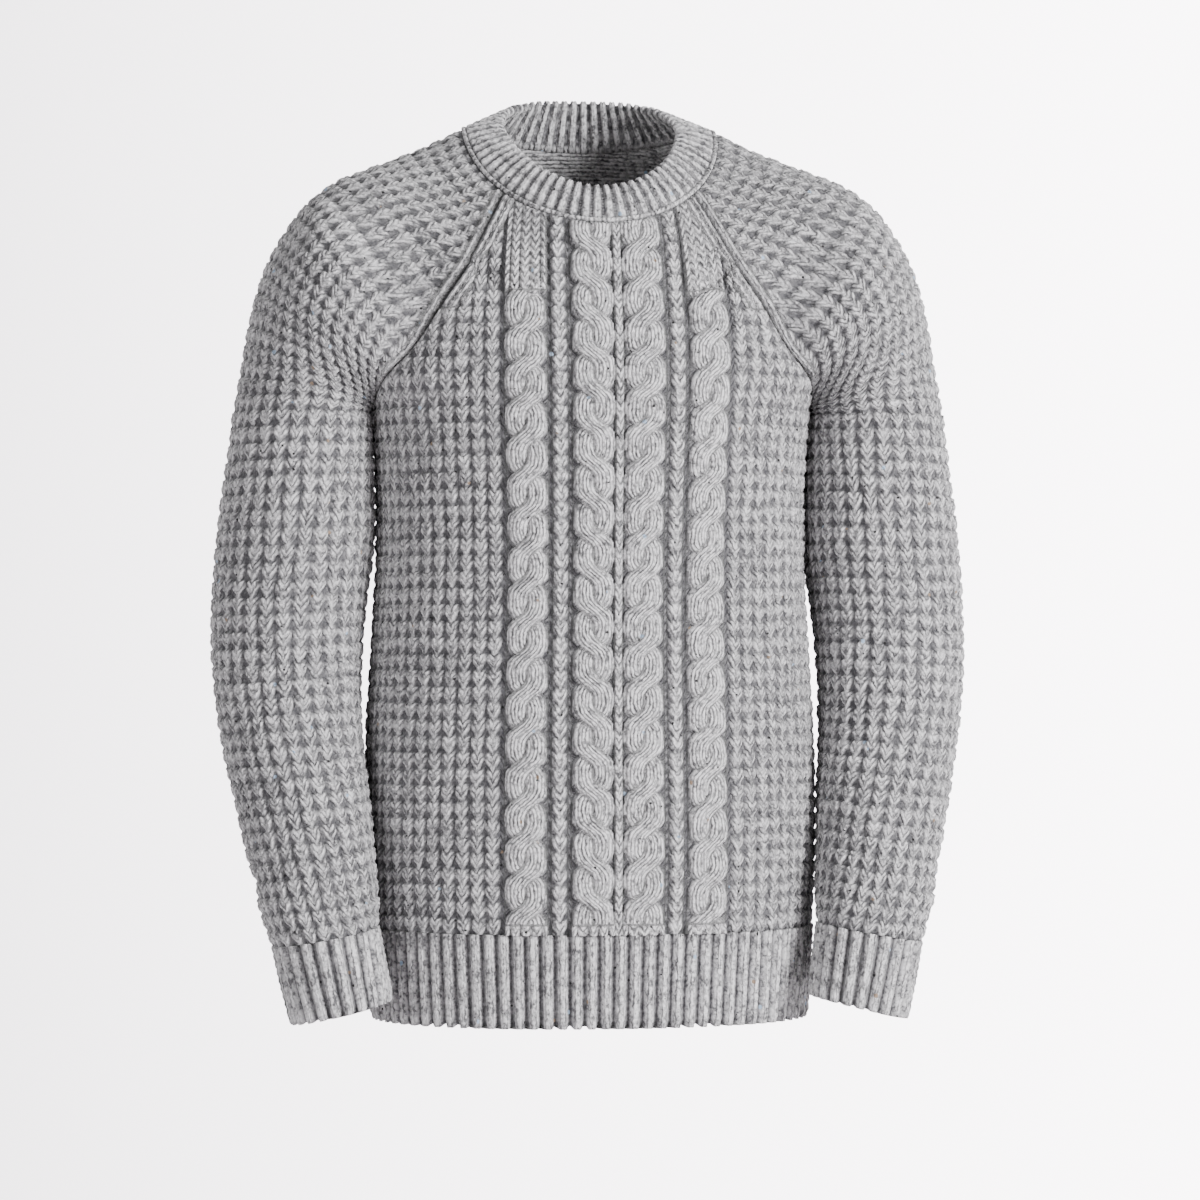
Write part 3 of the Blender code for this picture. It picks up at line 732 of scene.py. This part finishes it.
girth = run_of(body_half(BACK_ROWS, 1, [0.0], 200)[0], 0)[-1]
wales = BODY_WALE * np.arange(0, ACROSS * int(girth / BODY_WALE + 2)) / ACROSS
wales = np.concatenate([wales[::-1], -wales[1:]])
courses = int((BACK_TOP_Z - RIB_TOP_Z) / BODY_COURSE * FINE)
heights = RIB_TOP_Z + BODY_COURSE * np.arange(0, courses + 1) / FINE
base, normal, beside, below = body_surface(BACK_ROWS, 1, wales, heights)
side_way, up = np.broadcast_arrays(wales[None, :], heights[:, None])
wale, course = side_way / BODY_WALE + 0.5, (up - RIB_TOP_Z) / BODY_COURSE
tall, drift, rise = uneven(wale, course)
tooth, p = waffle(wale + drift, course + rise)
lift = VALLEY + BLOCK_RISE * tall * tooth
yarn = strand_of(p, BODY_WALE, (course + rise) * BODY_COURSE, BODY_COURSE)
lift, yarn = beside_seam(lift, yarn, beside, up, 2, soft(-0.140, -0.112, up))
lift = pressed(lift, soft(0.152, 0.165, np.abs(base[..., 0])))
lift, shade_relief = edged(lift, beside, up, below)
back_body = cloth("back_panel", "back_body", creased(base), normal, lift, yarn, shade_relief)
back_body.data.materials.append(wool("back_wool"))

# ---------------------------------------------------------------------------------------
# Sleeves: one waffle tube each, closed by a seam down the inside of the arm. Above the
# underarm each opens out and runs over the shoulder to the neck between the raglan seams.
SLEEVE_WALE, SLEEVE_COURSE, SLEEVE_LOFT = 0.0125, 0.0128, 1.05
LEANING_LIFT = 0.0009  # the stitches nearest the body reach out to it below the underarm
RIDGE_ROWS = (
    # station, x, y, height, front_dip, back_dip, fullness
    (0.00, 0.2680, 0.002, -0.200, 0.00, 0.00, 0.863),
    (0.15, 0.2500, -0.002, -0.110, 0.00, 0.00, 0.620),
    (0.33, 0.2220, -0.006, -0.055, 0.00, 0.00, 0.500),
    (0.50, 0.1950, -0.006, -0.030, 0.00, 0.00, 0.440),
    (0.65, 0.1650, -0.002, -0.016, 0.06, 0.00, 0.400),
    (0.80, 0.1320, 0.003, -0.003, 0.22, -0.06, 0.370),
    (1.00, 0.0970, 0.006, 0.014, 0.60, -0.20, 0.360),
)
FRONT_LEAVE_ROWS = (
    # station, turn, rise
    (0.00, -90, 0.00),
    (0.15, -62, 0.30),
    (0.33, -31, 0.80),
    (0.50, 30, 1.10),
    (0.65, 43, 0.95),
    (0.80, 48, 0.72),
    (1.00, 47, 0.575),
)
BACK_LEAVE_ROWS = (
    # station, turn, rise
    (0.00, -90, 0.00),
    (0.15, -62, 0.30),
    (0.33, -30, 0.70),
    (0.50, 20, 1.10),
    (0.65, 32, 1.00),
    (0.80, 38, 0.80),
    (1.00, 40, 0.15),
)
CUFF_ROWS = (
    # station, outer_x, outer_z, inner_x, inner_z, y, half_depth
    (-2.00, 0.2280, -0.6490, 0.1560, -0.6315, -0.075, 0.0350),
    (-1.50, 0.2350, -0.6220, 0.1605, -0.6060, -0.068, 0.0385),
    (-1.00, 0.2410, -0.5945, 0.1650, -0.5805, -0.061, 0.0420),
)
ARM_ROWS = (
    # station, outer_x, outer_z, inner_x, inner_z, y, half_depth
    (-1.00, 0.2410, -0.5945, 0.1650, -0.5805, -0.061, 0.0420),
    (-0.96, 0.2480, -0.5750, 0.1642, -0.5620, -0.055, 0.0460),
    (-0.88, 0.2555, -0.5450, 0.1662, -0.5320, -0.046, 0.0490),
    (-0.75, 0.2655, -0.5000, 0.1692, -0.4880, -0.031, 0.0530),
    (-0.60, 0.2762, -0.4500, 0.1736, -0.4410, -0.016, 0.0570),
    (-0.45, 0.2830, -0.4000, 0.1742, -0.3930, -0.005, 0.0600),
    (-0.32, 0.2842, -0.3500, 0.1700, -0.3450, 0.001, 0.0625),
    (-0.20, 0.2808, -0.3000, 0.1642, -0.2970, 0.002, 0.0645),
    (-0.09, 0.2745, -0.2500, 0.1650, -0.2450, 0.001, 0.0655),
    (0.00, 0.2680, -0.2000, 0.1660, -0.2000, 0.001, 0.0660),
)


def cap_half(side, stations, samples):
    """Half of the sleeve cap on +X, from its ridge to the front or back raglan seam."""
    x, y, z, front_dip, back_dip, full = rows_at(RIDGE_ROWS, stations)
    seam_z, _, seam_x, seam_y, _ = rows_at(FRONT_ROWS if side < 0 else BACK_ROWS, stations)
    turn, rise = rows_at(FRONT_LEAVE_ROWS if side < 0 else BACK_LEAVE_ROWS, stations)
    dip, turn = front_dip if side < 0 else back_dip, np.radians(turn)
    ridge, seam = np.stack([x, y, z], 1), np.stack([seam_x, seam_y, seam_z], 1)
    along = unit(np.stack([0 * x, side + 0 * x, -dip], 1))
    leave = unit(np.stack([np.cos(turn), -side * np.sin(turn), rise], 1))
    handle = (full * np.linalg.norm(ridge - seam, axis=1))[:, None]
    shares = np.linspace(0, 1, samples)
    return bezier(ridge, ridge + handle * along, seam + handle * leave, seam, shares)


def arm_half(table, side, stations, samples):
    """Half of the sleeve tube on +X, from its outer line to its underarm line."""
    outer_x, outer_z, inner_x, inner_z, y, deep = rows_at(table, stations)
    outer = np.stack([outer_x, y + 0.001, outer_z], 1)
    inner = np.stack([inner_x, y - 0.001, inner_z], 1)
    handle = np.stack([0 * y, side * deep * 4 / 3, 0 * y], 1)
    return bezier(outer, outer + handle, inner + handle, inner, np.linspace(0, 1, samples))


def sleeve_half(side, stations, samples):
    """Half of the whole sleeve, arm below station 0 and cap above it."""
    stations = np.asarray(stations)
    arm = arm_half(ARM_ROWS, side, np.minimum(stations, 0), samples)
    arm[stations == 0, -1] = (0.166, 0, UNDERARM_Z)
    cap = cap_half(side, np.maximum(stations, 0), samples)
    return np.where(stations[:, None, None] > 0, cap, arm)


def laid_round(half, facing, around):
    """Points and normals of each row of a half section at its own distances from its first
    point, measured round the cloth, and the whole length of each row."""
    run = run_of(half, 1)
    both = np.concatenate([half, facing], axis=2)
    laid = np.stack(
        [
            np.stack([np.interp(at, r, part) for part in row.T], 1)
            for at, r, row in zip(around, run, both)
        ]
    )
    return laid[..., :3], unit(laid[..., 3:]), run[:, -1:]


def joined(front, back):
    """The two halves of a tube as one grid: from the seam round the front to the outer
    line, where each half starts, and on round the back to the seam."""
    return np.concatenate([front[:, ::-1], back[:, 1:]], axis=1)


def on_arm(turned, base, normal, *rest):
    """A piece's grids as the wearer's left arm has them, turned being 1, or mirrored for
    the right arm, turned being -1."""
    flip = (turned, 1, 1)
    moved = creased(base[:, ::turned] * flip), normal[:, ::turned] * flip
    return *moved, *(part[:, ::turned] for part in rest)


trial = np.concatenate([np.linspace(-1, 0, 400)[:-1], np.linspace(0, 1, 400)])
ridge = sleeve_half(-1, trial, 2)[:, 0]
ridge_run = run_of(ridge, 0)
courses = np.arange(0, ridge_run[-1], SLEEVE_COURSE / FINE)
stations = np.interp(courses, ridge_run, trial)
underarm_row = int(np.argmin(np.abs(stations)))
stations[underarm_row] = 0.0
stations[-1] = 1.0
widest = run_of(arm_half(ARM_ROWS, -1, [0.0], 200)[0], 0)[-1]
wales = SLEEVE_WALE * np.arange(0, FINE * int(widest / SLEEVE_WALE * 1.16 + 1) + 1) / FINE
halves = []
for side in (-1, 1):
    half = sleeve_half(side, stations, SAMPLES)
    facing = side * unit(np.cross(np.gradient(half, axis=1), np.gradient(half, axis=0)))
    draw = np.where(stations < 0, (run_of(half, 1)[:, -1] / widest) ** 0.45, 1)
    around = wales[None, :] * draw[:, None]
    laid, faced, limit = laid_round(half, facing, around)
    place = side * np.minimum(wales[None, :], limit / draw[:, None])
    halves.append((laid, faced, limit - around, place))
base, normal, beside, side_way = (joined(front, back) for front, back in zip(*halves))
normal[: underarm_row + 1, [0, -1]] = unit(normal[:, :1] + normal[:, -1:])[: underarm_row + 1]
beside = np.maximum(beside, 0)
up = courses[:, None] + 0 * side_way
wale, course = side_way / SLEEVE_WALE + 0.5, up / SLEEVE_COURSE
tall, drift, rise = uneven(wale, course)
loose = soft(0.0, 0.010, beside)
tooth, p = waffle(wale + drift * loose, course + rise * loose)
lift = VALLEY + BLOCK_RISE * SLEEVE_LOFT * (1 + (tall - 1) * loose) * tooth
yarn = strand_of(p, SLEEVE_WALE, (course + rise * loose) * SLEEVE_COURSE, SLEEVE_COURSE)
in_cap = soft(0.10, 0.28, stations)[:, None] + 0 * side_way
lift, yarn = beside_seam(lift, yarn, beside, up, 1, in_cap)
lift = pressed(lift, 1 - soft(0.170, 0.184, base[..., 0]))
leaning = soft(-0.305, -0.275, base[..., 2]) * (1 - soft(-0.215, -0.195, base[..., 2]))
lift += LEANING_LIFT * leaning * (1 - soft(0.166, 0.180, base[..., 0]))
lift, shade_relief = edged(lift, beside, base[..., 2], ridge_run[-1] - up)
for name, node, turned in (("left_sleeve", "sleeve_left", 1), ("right_sleeve", "sleeve_right", -1)):
    grids = on_arm(turned, base, normal, lift, yarn, shade_relief)
    sleeve = cloth(name, node, *grids, closed=underarm_row + 1)
    sleeve.data.materials.append(wool(name + "_wool", marl=0.75))

# ---------------------------------------------------------------------------------------
# Neckband: knit one, purl one rib, folded over double, so that its top edge is a soft roll.
# It is linked to the neckline with one row of chain, which stands up as a thin cord.
NECK_Y, NECK_DEPTH = 0.006, 0.098
BAND_TOP_X, BAND_TOP_Y, BAND_TOP_DEPTH, BAND_TOP_Z = 0.0665, 0.002, 0.078, 0.019
BAND_FRONT_DROP, BAND_BACK_RISE = 0.053, 0.027
BAND_THICK, BAND_WALL, BAND_SWELL, BAND_RIBS = 0.0050, 0.0022, 0.0016, 66
BAND_STITCH, BAND_PURL, BAND_RISE, BAND_YARN = 0.0052, -0.0014, 0.0031, 0.0030
CHAIN_ROWS, CHAIN_TOP, CHAIN_WIDTH, CHAIN_FOOT = 9, 0.0036, 0.0034, -0.0012

front_edge = body_half(FRONT_ROWS, -1, [1.0], SAMPLES)[0]
back_edge = body_half(BACK_ROWS, 1, [1.0], SAMPLES)[0]
cap_front = sleeve_half(-1, [1.0], SAMPLES)[0]
cap_back = sleeve_half(1, [1.0], SAMPLES)[0]
half_ring = np.concatenate([front_edge, cap_front[::-1][1:], cap_back[1:], back_edge[::-1][1:]])
ring = np.concatenate([half_ring, (half_ring * (-1, 1, 1))[::-1][1:]])
run = run_of(ring, 0)
around = np.linspace(0, run[-1], BAND_RIBS * 8 + 1)
foot = np.stack([np.interp(around, run, part) for part in ring.T], 1)
turn = np.arctan2(foot[:, 0] / NECK_X, (NECK_Y - foot[:, 1]) / NECK_DEPTH)
forward = np.cos(turn)
fold_z = BAND_TOP_Z - (BAND_FRONT_DROP + BAND_BACK_RISE) / 2 * forward
fold_z -= (BAND_FRONT_DROP - BAND_BACK_RISE) / 2 * forward**2
fold = np.stack([BAND_TOP_X * np.sin(turn), BAND_TOP_Y - BAND_TOP_DEPTH * forward, fold_z], 1)
rise = fold - foot
height = np.linalg.norm(rise, axis=1)[:, None]


def round_ring(rows):
    """The step along the closed ring at each of its points, from one neighbour to the other."""
    step = np.roll(rows[..., :-1, :], -1, -2) - np.roll(rows[..., :-1, :], 1, -2)
    return np.concatenate([step, step[..., :1, :]], axis=-2)


out = unit(np.cross(round_ring(foot), rise))
# The way round the band's section: up its face, over the fold and down its inside.
chain_up = np.linspace(0, CHAIN_TOP, CHAIN_ROWS)
face_up = np.linspace(0, 1, 26)[1:]
fold_turn = np.linspace(0, np.pi, 9)[1:-1]
inside_down = np.linspace(1, 0, 12)
radius = BAND_THICK / 2
top = 1 - radius / height
chain_share = chain_up / height
face_share = chain_share[:, -1:] + (top - chain_share[:, -1:]) * face_up
face_share = np.concatenate([chain_share, face_share], axis=1)
over_fold = top + radius * np.sin(fold_turn) / height
down = top * inside_down
along = np.concatenate([face_share, over_fold, down], axis=1)
off = np.concatenate(
    [
        BAND_SWELL * np.sin(np.pi * np.clip(face_share, 0, 1)),
        radius * (np.cos(fold_turn) - 1) + 0 * top,
        BAND_SWELL / 2 * np.sin(np.pi * down) - BAND_THICK,
    ],
    axis=1,
)
base = foot[:, None] + along[..., None] * rise[:, None] + off[..., None] * out[:, None]
base = base.transpose(1, 0, 2)
normal = unit(np.cross(round_ring(base), np.gradient(base, axis=0)))
section = along.T * height.T
rib = around / run[-1] * BAND_RIBS
p = np.abs(2 * (rib - np.floor(rib)) - 1)[None, :] + 0 * section
knit = (1 - soft(0.36, 0.80, p)) * (1 - 0.26 * np.exp(-((p / 0.16) ** 2)))
knit *= 0.88 + 0.12 * np.cos(2 * np.pi * (section / BAND_STITCH - 0.7 * p))
purl = 0.0006 * soft(0.5, 0.9, p) * np.cos(2 * np.pi * section / (BAND_STITCH / 2))
lift = BAND_PURL + BAND_RISE * knit + purl
round_chain = np.sqrt(np.clip(1 - (2 * section / CHAIN_WIDTH - 1) ** 2, 0, 1))
plies = 0.80 + 0.20 * np.cos(2 * np.pi * (rib[None, :] * 2.5 - section / 0.0030))
chain = CHAIN_FOOT + BAND_RISE * round_chain * plies
lift[:CHAIN_ROWS] = chain[:CHAIN_ROWS]
lift[0] = CHAIN_FOOT
lift[-2:] = 0
yarn = np.stack([p * BAND_YARN, section + 0 * p], -1)
# Painted shade: the lower a point of the band lies, the darker it is painted, in the purl ribs and
# along the chain.
shade_relief = np.clip((lift + 0.0020) / 0.0030, 0, 1)
neckband = cloth(
    "rib_neckband", "neckband", base, normal, lift, yarn, shade_relief, wall=BAND_WALL, closed=len(base)
)
neckband.data.materials.append(wool("neckband_wool", marl=0.7))

# ---------------------------------------------------------------------------------------
# Hem ribs: wide knit ribs with sunk purl ribs between them, worked on down from the front
# and back panels, and left soft and scalloped along the bottom edge.
HEM_RIBS = 20  # on each side of the middle rib
RIB_STITCH, RIB_PURL, RIB_YARN, RIB_SUNK = 0.0060, -0.0022, 0.0050, -0.0029
HEM_RISE, HEM_SCALLOP = 0.0048, 0.0022


def rib_column(p, along):
    """The rise of a wide knit rib, 0 to 1, p being 0 at its middle and 1 at the middle of
    the purl rib beside it: a flat top with a V each stitch and a groove down the middle."""
    vees = 0.92 + 0.08 * np.cos(2 * np.pi * (along / RIB_STITCH - 0.7 * p))
    return (1 - soft(0.38, 0.76, p)) * vees * (1 - 0.28 * np.exp(-((p / 0.13) ** 2)))


def scallop(p, from_foot):
    """How far each point of a rib's bottom edge hangs down, 0 to 1."""
    return (1 - soft(0.4, 0.9, p)) * (1 - soft(0.0, 0.010, from_foot))


hem_stations = np.linspace(-1.0, RIB_STATION, 33)
shares = np.linspace(-1, 1, 16 * HEM_RIBS + 9)
for name, node, rows, side in (
    ("front_hem", "hem_rib_front", FRONT_ROWS, -1),
    ("back_hem", "hem_rib_back", BACK_ROWS, 1),
):
    half = body_half(rows, side, hem_stations, 240)
    facing = side * unit(np.cross(np.gradient(half, axis=0), np.gradient(half, axis=1)))
    width = run_of(half, 1)[:, -1]
    base, normal, _ = laid_round(half, facing, np.abs(shares)[None, :] * width[:, None])
    mirror = np.where(shares < 0, -1, 1)[None, :]
    base[..., 0] *= mirror
    normal[..., 0] *= mirror
    rib, up = np.broadcast_arrays((shares * (HEM_RIBS + 0.5))[None, :], base[:, :, 2])
    p = 2 * np.abs(rib - np.round(rib))
    from_foot = up - up[:1]
    lift = RIB_PURL + HEM_RISE * rib_column(p, up)
    lift += 0.0004 * soft(0.6, 0.9, p) * np.cos(2 * np.pi * up / RIB_STITCH)
    lift -= 0.0014 * (1 - soft(0.0, 0.004, from_foot))
    base = creased(base)
    base[..., 2] -= HEM_SCALLOP * scallop(p, from_foot)
    seam_fade = soft(0, 0.0045, (1 - np.abs(shares)) * width[:, None])
    lift = VALLEY + (lift - VALLEY) * seam_fade
    yarn = np.stack([p * RIB_YARN, up], -1)
    # Painted shade: the purl ribs between the knit ribs are painted darker, by how low they lie.
    shade_relief = np.clip((lift - RIB_SUNK) / 0.0038, 0, 1)
    hem = cloth(name, node, *(part[:, ::-side] for part in (base, normal, lift, yarn, shade_relief)))
    hem.data.materials.append(wool(name + "_wool", marl=0.55))

# ---------------------------------------------------------------------------------------
# Cuffs: the same rib, narrower, worked on down from each sleeve and drawn in round the
# wrist, so the sleeve blouses a little over it.
CUFF_RIBS = 22
CUFF_RISE, CUFF_SCALLOP = 0.0046, 0.0020

cuff_stations = np.linspace(-2.0, -1.0, 31)
shares = np.linspace(0, 1, 4 * CUFF_RIBS + 1)
halves = []
for side in (-1, 1):
    half = arm_half(CUFF_ROWS, side, cuff_stations, 200)
    facing = side * unit(np.cross(np.gradient(half, axis=1), np.gradient(half, axis=0)))
    halves.append(laid_round(half, facing, shares[None, :] * run_of(half, 1)[:, -1:])[:2])
base, normal = (joined(front, back) for front, back in zip(*halves))
normal[:, [0, -1]] = unit(normal[:, :1] + normal[:, -1:])
rib = (np.concatenate([-shares[::-1], shares[1:]]) * CUFF_RIBS / 2)[None, :]
drop = np.linalg.norm(base - base[:1], axis=2)
p = 2 * np.abs(rib - np.round(rib)) + 0 * drop
lift = RIB_PURL + CUFF_RISE * rib_column(p, drop) - 0.0012 * (1 - soft(0.0, 0.004, drop))
base[..., 2] -= CUFF_SCALLOP * scallop(p, drop)
yarn = np.stack([p * RIB_YARN, drop], -1)
# Painted shade: the purl ribs between the knit ribs are painted darker, by how low they lie.
shade_relief = np.clip((lift - RIB_SUNK) / 0.0037, 0, 1)
for name, node, turned in (("left_cuff", "cuff_left", 1), ("right_cuff", "cuff_right", -1)):
    grids = on_arm(turned, base, normal, lift, yarn, shade_relief)
    cuff = cloth(name, node, *grids, closed=len(base))
    cuff.data.materials.append(wool(name + "_wool", marl=0.55))
